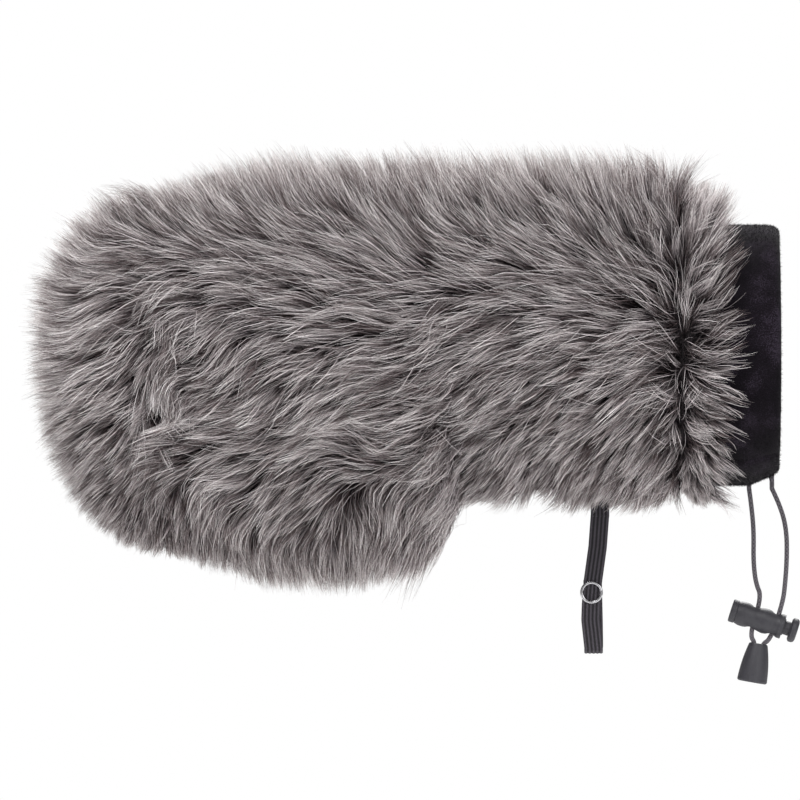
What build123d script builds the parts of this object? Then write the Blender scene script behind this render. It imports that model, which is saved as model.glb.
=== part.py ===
"""A furry windscreen: a fur sock with a velour collar, a drawcord with a cord lock, and a snap strap.

The cover is modelled full, as it sits on a microphone in its basket. The origin is on the collar's
axis, in the middle of its hem. +X leaves through the collar's mouth, the nose is at -X and +Z is up.
"""

from build123d import *
import math
import os

os.makedirs("parts", exist_ok=True)

# Collar, hem and drawcord
collar_radius = 54.6
velour = 1.4
collar_exposed = 27.7
hem_width = 16.0
channel_gap = 2.5
cord_radius = 1.0
cord_clearance = 0.2
stitch_width = 1.2

# Cover: lengths along X, from the collar's seam towards the nose
ruff_width = 13.5
rear_length = 87.0
step_length = 30.0
belly_length = 93.0
nose_length = 44.0
nose_roundness = 2.4
fur_roundness = 1.85
nose_tip_height = 2.5

# Cover: heights above and depths below the collar's axis, and half widths, all of the cloth
rear_height = 63.0
front_height = 61.0
shoulder_height = 57.0
rear_depth = 54.5
belly_depth = 82.0
shoulder_depth = 78.0
rear_half_width = 56.0
front_half_width = 64.0

# Fur: how far the pile stands off the cloth
pile_top = 22.5
pile_belly = 18.0
pile_rear_belly = 9.5
pile_shoulder_belly = 13.5
pile_shoulder_top = 17.5
pile_side = 16.0
pile_nose = 19.5
flare_reach = 8.0
flare_gap = 0.3

# Cloth and tapes
backing = 1.4
tape = 0.8
tape_width = 7.0
nose_seam_from_tip = 38.0
body_stations = 16

# Grip slot in the rear belly
slot_length = 36.0
slot_width = 26.0
slot_ahead_of_strap = 27.0
binding = 1.5
binding_height = 5.5

# Strap of flat elastic, with a ring snap that holds its folded end
strap_width = 8.0
elastic = 1.2
strap_from_ruff = 33.6
strap_hang = 55.6
strap_lean = 3.55
strap_slit_clearance = 0.3
loop_radius = 1.7
strap_top_inside = 49.0
strap_hinge_depth = 67.6
snap_drop = 32.1
flap_above_snap = 5.2
snap_radius = 4.75
snap_ring_bore = 3.5
snap_ring_height = 0.9
stud_radius = 1.7
stud_clearance = 0.1

# Cord lock: a barrel with two cross holes and a sprung plunger
barrel_length = 23.0
barrel_radius = 5.2
lock_tilt = 18.0
lock_left_end = (-11.8, 0.0, -107.1)
first_cord_along = 10.6
cord_spacing = 9.1
cord_hole_radius = 2.0
grip_clearance = 0.05
plunger_radius = 3.5
plunger_fit = 0.05
plunger_head_radius = 5.2
plunger_head_height = 3.2
head_round = 1.6
neck_radius = 3.0
neck_length = 3.0
barrel_floor = 1.6
spring_wire = 0.5
spring_turns = 3.5

# Bell-shaped cord end, its insert and the knot inside it
bell_top = (-0.2, 0.0, -121.2)
bell_tilt = 10.0
bell_length = 16.5
bell_top_radius = 3.9
bell_bottom_radius = 6.3
bell_wall = 1.2
bell_hole_radius = 3.0
insert_height = 2.4
insert_fit = 0.05
knot_radius = 2.9
knot_depth = 10.2

# Places that follow from the sizes
mouth_x = hem_width / 2
collar_seam_x = mouth_x - collar_exposed
ruff_seam_x = collar_seam_x - ruff_width
step_end_x = ruff_seam_x - rear_length
step_start_x = step_end_x - step_length
shoulder_x = step_start_x - belly_length
nose_tip_x = shoulder_x - nose_length
nose_seam_x = nose_tip_x + nose_seam_from_tip
collar_inner_radius = collar_radius - velour
channel_inner_radius = collar_inner_radius - channel_gap
bore_radius = channel_inner_radius - velour
drawcord_ring_radius = collar_inner_radius - channel_gap / 2
strap_x = ruff_seam_x - strap_from_ruff
slot_x = strap_x - slot_ahead_of_strap

# Where the drawcord's two ends leave the hem, at the bottom of the collar
inner_exit_x = -4.2
mouth_exit_x = mouth_x - velour - cord_radius - cord_clearance
exit_gap = 0.3
cord_hinge_z = -(collar_radius + exit_gap + cord_clearance + cord_radius)


def save(piece, name):
    """Labels a finished piece and writes it to its own STEP file."""
    piece.part.label = name
    export_step(piece.part, f"parts/{name}.step")


def station(x, top, bottom):
    """The plane across the cover at x, centred between its top and its bottom."""
    return Plane(origin=(x, 0, (top + bottom) / 2), x_dir=(0, 1, 0), z_dir=(1, 0, 0))


def eased(x, start, end):
    """0 before start, 1 after end, and a smooth rise between them."""
    share = min(1.0, max(0.0, (x - start) / (end - start)))
    return share * share * (3 - 2 * share)


def cover_form(pile=0.0, inset=0.0):
    """A closed solid of the cover. pile is 1 for the fur's tips and 0 for the cloth, inset is inwards."""
    top, side, nose = pile * pile_top - inset, pile * pile_side - inset, pile * pile_nose - inset
    belly, rear_belly = pile * pile_belly - inset, pile * pile_rear_belly - inset
    shoulder_top, shoulder_belly = pile * pile_shoulder_top - inset, pile * pile_shoulder_belly - inset
    roundness = fur_roundness if pile else nose_roundness
    tip_x = nose_tip_x - nose
    nose_shares = (0.004, 0.07, 0.2, 0.42, 0.7)
    sections = []
    for share in nose_shares:
        swell = (1 - (1 - share) ** roundness) ** (1 / roundness)
        sections.append((
            tip_x + share * (shoulder_x - tip_x),
            nose_tip_height + swell * (shoulder_height + shoulder_top - nose_tip_height),
            nose_tip_height - swell * (shoulder_depth + shoulder_belly + nose_tip_height),
            swell * (front_half_width + side),
        ))
    middle_x = (shoulder_x + step_start_x) / 2
    for index in range(body_stations + 1):
        x = shoulder_x + index * (ruff_seam_x - shoulder_x) / body_stations
        full, raised = eased(x, shoulder_x, middle_x), eased(x, middle_x, step_start_x)
        stepped, closing = eased(x, step_start_x, step_end_x), eased(x, ruff_seam_x - ruff_width, ruff_seam_x)
        height = shoulder_height + full * (front_height - shoulder_height) + raised * (rear_height - front_height)
        upper_pile = (shoulder_top + full * (top - shoulder_top)) * (1 - 0.2 * closing * pile)
        depth = shoulder_depth + full * (belly_depth - shoulder_depth) + stepped * (rear_depth - belly_depth)
        lower_pile = shoulder_belly + full * (belly - shoulder_belly) + stepped * (rear_belly - belly)
        half_width = front_half_width + stepped * (rear_half_width - front_half_width)
        side_pile = side * (1 - 0.2 * closing * pile)
        sections.append((x, height + upper_pile, -depth - lower_pile, half_width + side_pile))
    if pile:
        flare_x = collar_seam_x + flare_reach
        sleeve = collar_radius + velour
        sections += [
            (collar_seam_x, sleeve + top * 0.4, -sleeve - rear_belly * 0.3, sleeve + side * 0.4),
            (flare_x, sleeve, -sleeve, sleeve),
        ]
    else:
        radius = collar_radius - inset
        sections += [(collar_seam_x, radius, -radius, radius)]
    with BuildPart() as form:
        for x, upper, lower, half_width in sections:
            with BuildSketch(station(x, upper, lower)):
                Ellipse(half_width, (upper - lower) / 2)
        loft()
    return form.part


def difference(outer, inner):
    """The wall between two closed forms."""
    with BuildPart() as wall:
        add(outer)
        add(inner, mode=Mode.SUBTRACT)
    return wall.part


fur_form = cover_form(pile=1.0)
cloth_form = cover_form()
cavity_form = cover_form(inset=backing)
tape_form = cover_form(inset=backing + tape)

with BuildPart() as collar_plug:
    with BuildSketch(Plane.YZ.offset(collar_seam_x)):
        Circle(collar_radius + flare_gap)
    extrude(amount=collar_exposed)

with BuildPart() as grip_slot:
    with BuildSketch(Plane.XY.offset(-belly_depth)):
        with Locations((slot_x, 0)):
            SlotOverall(slot_length, slot_width)
    extrude(amount=belly_depth / 2)

slit_length = strap_width + 2 * strap_slit_clearance
slit_width = elastic + 2 * strap_slit_clearance
with BuildPart() as strap_slit:
    with BuildSketch(Plane.XY.offset(-belly_depth)):
        with Locations((strap_x, 0)):
            Rectangle(slit_length, slit_width)
    extrude(amount=belly_depth / 2)

fur_wall = difference(difference(fur_form, cloth_form), collar_plug.part)
cloth_wall = difference(cloth_form, cavity_form)
tape_wall = difference(cavity_form, tape_form)


def panel(wall, name, x_low, x_high, side=0):
    """The part of a wall between two planes across the cover, on one side of its middle or all round."""
    with BuildPart() as piece:
        add(wall)
        if x_low is not None:
            split(bisect_by=Plane.YZ.offset(x_low), keep=Keep.TOP)
        if x_high is not None:
            split(bisect_by=Plane.YZ.offset(x_high), keep=Keep.BOTTOM)
        if side:
            split(bisect_by=Plane.XZ, keep=Keep.TOP if side < 0 else Keep.BOTTOM)
            add(grip_slot.part, mode=Mode.SUBTRACT)
            add(strap_slit.part, mode=Mode.SUBTRACT)
    save(piece, name)


# Fur, as the pile that stands on each panel of cloth, and the knitted backing under it
panel(fur_wall, "nose_fur", None, nose_seam_x)
panel(fur_wall, "left_fur", nose_seam_x, ruff_seam_x, side=-1)
panel(fur_wall, "right_fur", nose_seam_x, ruff_seam_x, side=1)
panel(fur_wall, "ruff_fur", ruff_seam_x, None)
panel(cloth_wall, "nose_backing", None, nose_seam_x)
panel(cloth_wall, "left_backing", nose_seam_x, ruff_seam_x, side=-1)
panel(cloth_wall, "right_backing", nose_seam_x, ruff_seam_x, side=1)
panel(cloth_wall, "ruff_backing", ruff_seam_x, collar_seam_x)

# Seam tapes inside the cover
nose_tape_end_x = nose_seam_x + tape_width / 2
ruff_tape_start_x = ruff_seam_x - tape_width / 2
panel(tape_wall, "nose_seam_tape", nose_seam_x - tape_width / 2, nose_tape_end_x)
panel(tape_wall, "ruff_seam_tape", ruff_tape_start_x, ruff_seam_x + tape_width / 2)


def lengthwise_tape(name, low_z, high_z):
    """A tape along the middle of the cover, over its spine or under its belly."""
    with BuildPart() as piece:
        add(tape_wall)
        with BuildSketch(Plane.YZ.offset(nose_tape_end_x)):
            with Locations((0, (low_z + high_z) / 2)):
                Rectangle(tape_width, high_z - low_z)
        extrude(amount=ruff_tape_start_x - nose_tape_end_x, mode=Mode.INTERSECT)
        add(grip_slot.part, mode=Mode.SUBTRACT)
        add(strap_slit.part, mode=Mode.SUBTRACT)
    save(piece, name)


lengthwise_tape("spine_seam_tape", 0, 2 * rear_height)
lengthwise_tape("belly_seam_tape", -2 * belly_depth, 0)

# Binding round the edge of the grip slot
binding_low = -rear_depth - 2
with BuildPart() as grip_slot_binding:
    with BuildSketch(Plane.XY.offset(binding_low)):
        with Locations((slot_x, 0)):
            SlotOverall(slot_length, slot_width)
            SlotOverall(slot_length - 2 * binding, slot_width - 2 * binding, mode=Mode.SUBTRACT)
    extrude(amount=binding_height)
save(grip_slot_binding, "grip_slot_binding")

# Velour collar: its wall, and its end turned in over the drawcord to make the hem
fold = (collar_radius - bore_radius) / 2
with BuildPart() as collar_shell:
    with BuildSketch(Plane.XZ) as hem_section:
        with Locations((0, (collar_radius + bore_radius) / 2)):
            Rectangle(hem_width, collar_radius - bore_radius)
        fillet(hem_section.vertices().group_by(Axis.X)[-1], fold * 0.9)
        with Locations((-velour / 2 - 1, drawcord_ring_radius)):
            Rectangle(hem_width - velour + 2, channel_gap, mode=Mode.SUBTRACT)
        with Locations(((collar_seam_x - mouth_x) / 2, collar_radius - velour / 2)):
            Rectangle(collar_exposed - hem_width, velour)
    revolve(axis=Axis.X)
    for exit_x, side in ((inner_exit_x, -1), (mouth_exit_x, 1)):
        with Locations((exit_x, side * cord_radius, -collar_radius)):
            Box(2 * (cord_radius + cord_clearance), 6 * cord_radius, 2.5 * velour, mode=Mode.SUBTRACT)
save(collar_shell, "collar_shell")

# Stitching that closes the hem's channel
with BuildPart() as hem_stitching:
    with BuildSketch(Plane.YZ.offset(-mouth_x)):
        Circle(collar_inner_radius)
        Circle(channel_inner_radius, mode=Mode.SUBTRACT)
    extrude(amount=stitch_width)
save(hem_stitching, "hem_stitching")

# Tape over the seam between the collar and the ruff
with BuildPart() as collar_seam_tape:
    with BuildSketch(Plane.YZ.offset(collar_seam_x)):
        Circle(collar_inner_radius)
        Circle(collar_inner_radius - tape, mode=Mode.SUBTRACT)
    extrude(amount=tape_width)
save(collar_seam_tape, "collar_seam_tape")

# Lap where the collar's strip of velour overlaps itself, low on the left side
lap_start_angle = 180 + 55.5
lap_span = 20.0
lap_thickness = 0.7
with BuildPart() as collar_lap:
    with BuildSketch(Plane.YZ.offset(collar_seam_x + flare_reach + 1)):
        with BuildLine():
            upper = CenterArc((0, 0), collar_radius + lap_thickness, lap_start_angle, lap_span)
            lower = CenterArc((0, 0), collar_radius, lap_start_angle, lap_span)
            Line(upper @ 0, lower @ 0)
            Line(upper @ 1, lower @ 1)
        make_face()
    extrude(amount=collar_exposed - flare_reach - 1 - 2 * fold)
save(collar_lap, "collar_lap")


# Cords. A route is straight runs, and each corner gets the largest arc that its two runs allow.
def route_radii(points):
    """Radii of the arcs at a route's corners: 0.45 of the shorter run over the tangent of half the turn."""
    vectors = [Vector(*point) for point in points]
    runs = [b - a for a, b in zip(vectors, vectors[1:])]
    radii = []
    for before, after in zip(runs, runs[1:]):
        half_turn = math.radians(before.get_angle(after) / 2)
        radii.append(0.45 * min(before.length, after.length) / math.tan(half_turn))
    return radii


def cord(points, radii, name, ball_end=False):
    """A round cord along a route, with a ball at its first point where it turns on a hinge."""
    with BuildPart() as piece:
        with BuildLine() as path:
            FilletPolyline(*points, radius=radii)
        start = Vector(*points[0])
        with BuildSketch(Plane(origin=start, z_dir=Vector(*points[1]) - start)):
            Circle(cord_radius)
        sweep(path=path.line)
        if ball_end:
            with Locations(points[0]):
                Sphere(cord_radius)
    length = path.wires()[0].length
    expected = math.pi * cord_radius**2 * length
    print(name, "length", round(length, 2), "radii", [round(r, 1) for r in radii])
    print(name, "volume over section times length", round(piece.part.volume / expected, 3))
    save(piece, name)


# The stretch in the hem goes once round the collar, from one exit to the other
ring_sides = 30
ring_corner = drawcord_ring_radius / math.cos(math.pi / ring_sides)
leg_end_z = cord_hinge_z + cord_radius + cord_clearance
hem_points = [(inner_exit_x, 0, leg_end_z), (inner_exit_x, 0, -drawcord_ring_radius)]
for side in range(ring_sides):
    turn = 2 * math.pi * (side + 0.5) / ring_sides
    drift = (side + 0.5) / ring_sides
    hem_points.append((
        inner_exit_x + drift * (mouth_exit_x - inner_exit_x),
        -ring_corner * math.sin(turn),
        -ring_corner * math.cos(turn),
    ))
hem_points += [(mouth_exit_x, 0, -drawcord_ring_radius), (mouth_exit_x, 0, leg_end_z)]
hem_radii = route_radii(hem_points)
exit_bend = 2 * cord_radius
hem_radii[0] = exit_bend
hem_radii[-1] = exit_bend
cord(hem_points, hem_radii, "drawcord_in_hem")

# The two strands hang from the hem, go through the lock and meet in the bell
tilt = math.radians(lock_tilt)
along = Vector(math.cos(tilt), 0, -math.sin(tilt))
across = Vector(math.sin(tilt), 0, math.cos(tilt))
left_end = Vector(*lock_left_end)
first_cord = left_end + along * first_cord_along
second_cord = first_cord + along * cord_spacing


def beside(point, distance):
    """A point beside the barrel's axis, above it or, if distance is negative, below it."""
    return tuple(point + across * distance)


def halfway(a, b):
    """The point midway between two others, where a strand's upper stretch hands over to its tail."""
    return tuple((Vector(*a) + Vector(*b)) / 2)


inner_bend = (-1.4, 0, -95.8)
mouth_bend = (10.9, 0, -96.8)
inner_lead = beside(first_cord, 9.2)
mouth_lead = beside(second_cord, 9.8)
inner_strand = [
    (inner_exit_x, 0, cord_hinge_z),
    (-3.1, 0, -64.0),
    (-2.2, 0, -74.5),
    (-2.4, 0, -86.5),
    inner_bend,
    halfway(inner_bend, inner_lead),
]
mouth_strand = [
    (mouth_exit_x, 0, cord_hinge_z),
    (9.0, 0, -63.5),
    (11.6, 0, -73.6),
    (11.7, 0, -85.8),
    mouth_bend,
    halfway(mouth_bend, mouth_lead),
]
bell_axis = Vector(-math.sin(math.radians(bell_tilt)), 0, -math.cos(math.radians(bell_tilt)))
bell_side = Vector(math.cos(math.radians(bell_tilt)), 0, -math.sin(math.radians(bell_tilt)))
bell_start = Vector(*bell_top)
tail_offset = cord_radius + 0.07
knot_reach = knot_depth - knot_radius + 0.7


def in_bell(offset, depth):
    """A point in the bell, beside its axis and below its top."""
    return tuple(bell_start + bell_side * offset + bell_axis * depth)


inner_tail = [
    halfway(inner_bend, inner_lead),
    inner_lead,
    beside(first_cord, -7.6),
    in_bell(-tail_offset, 0.3),
    in_bell(-tail_offset, knot_reach),
]
mouth_tail = [
    halfway(mouth_bend, mouth_lead),
    mouth_lead,
    beside(second_cord, -6.6),
    in_bell(tail_offset, 0.3),
    in_bell(tail_offset, knot_reach),
]
cord(inner_strand, route_radii(inner_strand), "drawcord_strand_inner", ball_end=True)
cord(mouth_strand, route_radii(mouth_strand), "drawcord_strand_mouth", ball_end=True)
cord(inner_tail, route_radii(inner_tail), "drawcord_tail_inner")
cord(mouth_tail, route_radii(mouth_tail), "drawcord_tail_mouth")

# Cord lock. The plunger's holes stand off the barrel's, so the spring grips the cords between them.
grip_offset = cord_hole_radius - cord_radius - grip_clearance / 2
plunger_travel = 2 * grip_offset
lock_plane = Plane(origin=left_end, x_dir=along, z_dir=(0, -1, 0))
hole_places = [first_cord_along - grip_offset, first_cord_along + cord_spacing - grip_offset]
bore_r = plunger_radius + plunger_fit

with BuildPart() as lock_barrel:
    with BuildSketch(lock_plane):
        with BuildLine():
            Line((0, 0), (0, barrel_radius - 0.9))
            ThreePointArc((0, barrel_radius - 0.9), (0.2, barrel_radius - 0.5), (0.6, barrel_radius - 0.3))
            Line((0.6, barrel_radius - 0.3), (2.3, barrel_radius - 0.3))
            Line((2.3, barrel_radius - 0.3), (2.6, barrel_radius - 0.6))
            Spline(
                (2.6, barrel_radius - 0.6),
                (6.0, barrel_radius),
                (first_cord_along, barrel_radius - 0.55),
                (first_cord_along + cord_spacing / 2, barrel_radius + 0.1),
                (first_cord_along + cord_spacing * 0.93, barrel_radius - 0.55),
                (barrel_length - 1.6, barrel_radius),
            )
            Line((barrel_length - 1.6, barrel_radius), (barrel_length, barrel_radius))
            Line((barrel_length, barrel_radius), (barrel_length, 0))
            Line((barrel_length, 0), (0, 0))
        make_face()
    revolve(axis=Axis(left_end, along))
    with BuildSketch(Plane(origin=left_end + along * barrel_floor, z_dir=along)):
        Circle(bore_r)
    extrude(amount=barrel_length, mode=Mode.SUBTRACT)
    for place in hole_places:
        hole_top = left_end + along * place + across * 2 * barrel_radius
        with BuildSketch(Plane(origin=hole_top, z_dir=-across)):
            Circle(cord_hole_radius)
        extrude(amount=4 * barrel_radius, mode=Mode.SUBTRACT)
save(lock_barrel, "lock_barrel")

plunger_end = hole_places[0] - cord_hole_radius - 0.2
head_start = barrel_length + neck_length
plunger_length = head_start + plunger_head_height
with BuildPart() as lock_plunger:
    with BuildSketch(lock_plane):
        with BuildLine():
            Polyline(
                (plunger_end, 0),
                (plunger_end, plunger_radius),
                (barrel_length + 0.5, plunger_radius),
                (barrel_length + 0.5, neck_radius),
                (head_start, neck_radius),
                (head_start, plunger_head_radius - 0.8),
                (head_start + 0.7, plunger_head_radius),
                (plunger_length - head_round, plunger_head_radius),
            )
            RadiusArc(
                (plunger_length - head_round, plunger_head_radius),
                (plunger_length, plunger_head_radius - head_round),
                head_round,
            )
            Polyline((plunger_length, plunger_head_radius - head_round), (plunger_length, 0), (plunger_end, 0))
        make_face()
    revolve(axis=Axis(left_end, along))
    for place in hole_places:
        hole_top = left_end + along * (place + plunger_travel) + across * 2 * barrel_radius
        with BuildSketch(Plane(origin=hole_top, z_dir=-across)):
            Circle(cord_hole_radius)
        extrude(amount=4 * barrel_radius, mode=Mode.SUBTRACT)
save(lock_plunger, "lock_plunger")

spring_radius = plunger_radius - spring_wire - 0.2
spring_length = plunger_end - barrel_floor - spring_wire
spring_seat = left_end + along * (barrel_floor + spring_wire / 2)
with BuildPart() as lock_spring:
    with BuildLine() as coil:
        winding = Helix(
            pitch=spring_length / spring_turns,
            height=spring_length,
            radius=spring_radius,
            center=spring_seat,
            direction=along,
        )
    with BuildSketch(Plane(origin=winding @ 0, z_dir=winding % 0)):
        Circle(spring_wire / 2)
    sweep(path=coil.line, is_frenet=True)
save(lock_spring, "lock_spring")

# Bell-shaped cord end
bell_plane = Plane(origin=bell_start, x_dir=bell_axis, z_dir=(0, -1, 0))
seat_depth = bell_length - insert_height - 0.6
seat_radius = bell_bottom_radius - bell_wall
with BuildPart() as bell_shell:
    with BuildSketch(bell_plane):
        with BuildLine():
            Line((0, bell_hole_radius), (0, bell_top_radius - 0.5))
            ThreePointArc((0, bell_top_radius - 0.5), (0.2, bell_top_radius - 0.1), (0.7, bell_top_radius + 0.15))
            Spline(
                (0.7, bell_top_radius + 0.15),
                (bell_length * 0.35, bell_top_radius * 0.45 + bell_bottom_radius * 0.55),
                (bell_length - 1.2, bell_bottom_radius),
            )
            ThreePointArc(
                (bell_length - 1.2, bell_bottom_radius),
                (bell_length - 0.3, bell_bottom_radius - 0.2),
                (bell_length, seat_radius + 0.3),
            )
            Polyline(
                (bell_length, seat_radius + 0.3),
                (bell_length, seat_radius),
                (seat_depth, seat_radius),
                (seat_depth, seat_radius - 0.8),
                (1.6, bell_hole_radius + 0.3),
                (1.4, bell_hole_radius),
                (0, bell_hole_radius),
            )
        make_face()
    revolve(axis=Axis(bell_start, bell_axis))
save(bell_shell, "bell_shell")

with BuildPart() as bell_insert:
    with BuildSketch(Plane(origin=bell_start + bell_axis * seat_depth, z_dir=bell_axis)):
        Circle(seat_radius - insert_fit)
    extrude(amount=insert_height)
    fillet(bell_insert.faces().sort_by(Axis.Z)[0].edges(), 0.5)
save(bell_insert, "bell_insert")

with BuildPart() as cord_knot:
    with Locations(in_bell(0, knot_depth)):
        Sphere(knot_radius)
save(cord_knot, "cord_knot")

# Strap: elastic caught in the belly seam, hanging down and folded up behind itself
fold_z = -(strap_hinge_depth + strap_hang)
snap_x = strap_x - strap_lean
snap_z = -(strap_hinge_depth + snap_drop)
snap_plane = Plane(origin=(snap_x, 0, snap_z), x_dir=(1, 0, 0), z_dir=(0, -1, 0))
front_face = loop_radius + elastic / 2
back_face = loop_radius - elastic / 2
knuckle_gap = 0.3

with BuildPart() as strap_root:
    root_low = -strap_hinge_depth + elastic / 2 + knuckle_gap
    with BuildSketch(Plane.XY.offset(root_low)):
        with Locations((strap_x, 0)):
            Rectangle(strap_width, elastic)
    extrude(amount=-strap_top_inside - root_low)
save(strap_root, "strap_root")

with BuildPart() as strap_tack:
    tack_low = -rear_depth + backing + tape + 0.6
    with BuildSketch(Plane.XY.offset(tack_low)):
        with Locations((strap_x, 0)):
            Rectangle(strap_width + 2, elastic + 3)
            Rectangle(strap_width, elastic, mode=Mode.SUBTRACT)
    extrude(amount=1.6)
save(strap_tack, "strap_tack")


def leaning_prism():
    """The strap seen from its side: straight down its first stretch, then leaning to the snap."""
    with BuildPart() as prism:
        with BuildSketch(Plane.XZ.offset(2 * strap_width)):
            with BuildLine():
                leaning = Polyline(
                    (strap_x, -strap_hinge_depth + strap_width),
                    (strap_x, -strap_hinge_depth),
                    (snap_x, snap_z + 2),
                    (snap_x, fold_z - strap_width),
                )
            trace(leaning, line_width=strap_width)
        extrude(amount=-4 * strap_width)
    return prism.part


with BuildPart() as strap_band:
    with BuildSketch(Plane.YZ.offset(strap_x - 3 * strap_width)):
        with BuildLine():
            hanging = FilletPolyline(
                (0, -strap_hinge_depth),
                (0, snap_z + 12),
                (-loop_radius, snap_z + 5),
                (-loop_radius, fold_z),
                radius=4,
            )
            folding = CenterArc((0, fold_z), loop_radius, 180, 140)
        trace(hanging, line_width=elastic)
        trace(folding, line_width=elastic)
        with Locations((0, -strap_hinge_depth)):
            Circle(elastic / 2)
    extrude(amount=6 * strap_width)
    add(leaning_prism(), mode=Mode.INTERSECT)
save(strap_band, "strap_band")

with BuildPart() as strap_flap:
    with BuildSketch(Plane.YZ.offset(strap_x - 3 * strap_width)):
        with BuildLine():
            standing = Line((loop_radius, fold_z), (loop_radius, snap_z + flap_above_snap))
        trace(standing, line_width=elastic)
        with Locations((loop_radius, fold_z)):
            Circle(elastic / 2)
    extrude(amount=6 * strap_width)
    add(leaning_prism(), mode=Mode.INTERSECT)
save(strap_flap, "strap_flap")


def snap_ring(name, face, outwards):
    """The rounded ring of the snap on one face of the strap."""
    with BuildPart() as piece:
        with BuildSketch(snap_plane.offset(face)):
            Circle(snap_radius)
            Circle(snap_ring_bore, mode=Mode.SUBTRACT)
        extrude(amount=outwards * snap_ring_height)
        rim = piece.faces().filter_by(Axis.Y).sort_by(Axis.Y)[0 if outwards > 0 else -1]
        fillet(rim.edges(), snap_ring_height * 0.6)
    save(piece, name)


snap_ring("snap_ring_front", front_face, 1)
snap_ring("snap_ring_back", -front_face, -1)

socket_depth = 1.6
with BuildPart() as snap_socket:
    with BuildSketch(snap_plane.offset(back_face - socket_depth)):
        Circle(snap_radius - 0.4)
        Circle(stud_radius + stud_clearance, mode=Mode.SUBTRACT)
    extrude(amount=socket_depth)
save(snap_socket, "snap_socket")

stud_base = 0.4
with BuildPart() as snap_stud:
    with BuildSketch(snap_plane.offset(-back_face)):
        Circle(snap_radius - 0.6)
    extrude(amount=stud_base)
    with BuildSketch(snap_plane.offset(-back_face)):
        Circle(stud_radius)
    extrude(amount=2 * back_face - 0.4)
save(snap_stud, "snap_stud")

print("bore radius", round(bore_radius, 3), "hem", -mouth_x, mouth_x, "fold", round(fold * 0.9, 3))
print("cord hinge z", cord_hinge_z, "exits", inner_exit_x, mouth_exit_x)
print("plunger travel", plunger_travel, "axis", tuple(along))
print("strap hinge", (0, -strap_hinge_depth), "flap hinge", (loop_radius, fold_z))
print("snap", snap_x, snap_z, "nose seam", nose_seam_x, "slot", slot_x, "shoulder", shoulder_x)
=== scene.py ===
# %% [markdown]
# # A furry windscreen
# A long-haired cover slips over a microphone in its basket and keeps the wind off it. The hairs slow
# the air down before it reaches the microphone, so the hair is the working part and not a decoration.
# A velour collar closes the open end. A drawcord with a sprung lock pulls that collar tight, and a
# short snap strap holds the cover to the grip below it.
#
# The engineering model is the frame of this scene: it fixes every size and every moving part. Here
# each soft part gets its hair, pile, ribs or braid, and each hard part gets its finish.

import bpy
import math

import numpy as np
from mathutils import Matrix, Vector, kdtree


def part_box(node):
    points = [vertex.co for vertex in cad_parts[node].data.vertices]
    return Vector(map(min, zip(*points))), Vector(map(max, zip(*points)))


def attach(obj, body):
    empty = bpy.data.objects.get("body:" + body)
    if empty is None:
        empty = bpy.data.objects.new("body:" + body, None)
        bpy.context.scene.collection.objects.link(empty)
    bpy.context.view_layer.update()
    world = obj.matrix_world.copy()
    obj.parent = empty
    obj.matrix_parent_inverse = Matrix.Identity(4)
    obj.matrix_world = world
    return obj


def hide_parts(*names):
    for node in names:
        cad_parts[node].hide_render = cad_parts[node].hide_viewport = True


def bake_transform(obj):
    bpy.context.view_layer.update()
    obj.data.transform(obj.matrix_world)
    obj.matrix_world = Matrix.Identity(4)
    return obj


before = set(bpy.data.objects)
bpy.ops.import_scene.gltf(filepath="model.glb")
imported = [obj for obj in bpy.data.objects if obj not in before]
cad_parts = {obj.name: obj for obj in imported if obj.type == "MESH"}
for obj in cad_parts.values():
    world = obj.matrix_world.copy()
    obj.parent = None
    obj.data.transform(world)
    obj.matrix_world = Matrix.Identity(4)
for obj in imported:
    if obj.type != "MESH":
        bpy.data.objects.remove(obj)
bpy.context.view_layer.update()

# %% [markdown]
# Every length below is written in millimetres and multiplied by `mm`, so the numbers read as they
# would on a pattern or a drawing. Colours are written as the hex values of a paint chart. Blender
# mixes light in linear values, so one function converts them.

# %% Units, colours and small helpers
mm = 0.001


def colour(hex_value):
    """A paint chart's hex colour as Blender's linear red, green, blue and alpha."""
    shares = [int(hex_value[place:place + 2], 16) / 255 for place in (1, 3, 5)]
    linear = [share / 12.92 if share <= 0.04045 else ((share + 0.055) / 1.055) ** 2.4 for share in shares]
    return (*linear, 1.0)


def add_node(tree, kind, settings, links):
    """Adds a node, sets its properties and inputs, and links its inputs from other nodes' sockets."""
    node = tree.nodes.new(kind)
    for name, value in settings.items():
        if isinstance(name, int) or name in node.inputs.keys():
            node.inputs[name].default_value = value
        else:
            setattr(node, name, value)
    for name, socket in links.items():
        tree.links.new(socket, node.inputs[name])
    return node


def noise(tree, size, detail):
    """Noise fixed to the piece, with patches of about the given size in metres."""
    place = add_node(tree, "ShaderNodeTexCoord", {}, {})
    settings = {"Scale": 1 / size, "Detail": detail}
    return add_node(tree, "ShaderNodeTexNoise", settings, {"Vector": place.outputs["Object"]})


def new_finish(name, settings):
    """A material with one Principled shader, and the given values on the shader's own sockets."""
    material = bpy.data.materials.new(name)
    material.use_nodes = True
    shader = material.node_tree.nodes["Principled BSDF"]
    for socket, value in settings.items():
        shader.inputs[socket].default_value = value
    return material, material.node_tree, shader


def colour_bands(tree, factor, bands):
    """A ramp that runs through the given (place, hex colour) pairs."""
    ramp = add_node(tree, "ShaderNodeValToRGB", {}, {"Fac": factor})
    stops = ramp.color_ramp.elements
    while len(stops) < len(bands):
        stops.new(0.5)
    for stop, (place, hex_value) in zip(stops, bands):
        stop.position = place
        stop.color = colour(hex_value)
    return ramp.outputs["Color"]


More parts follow.
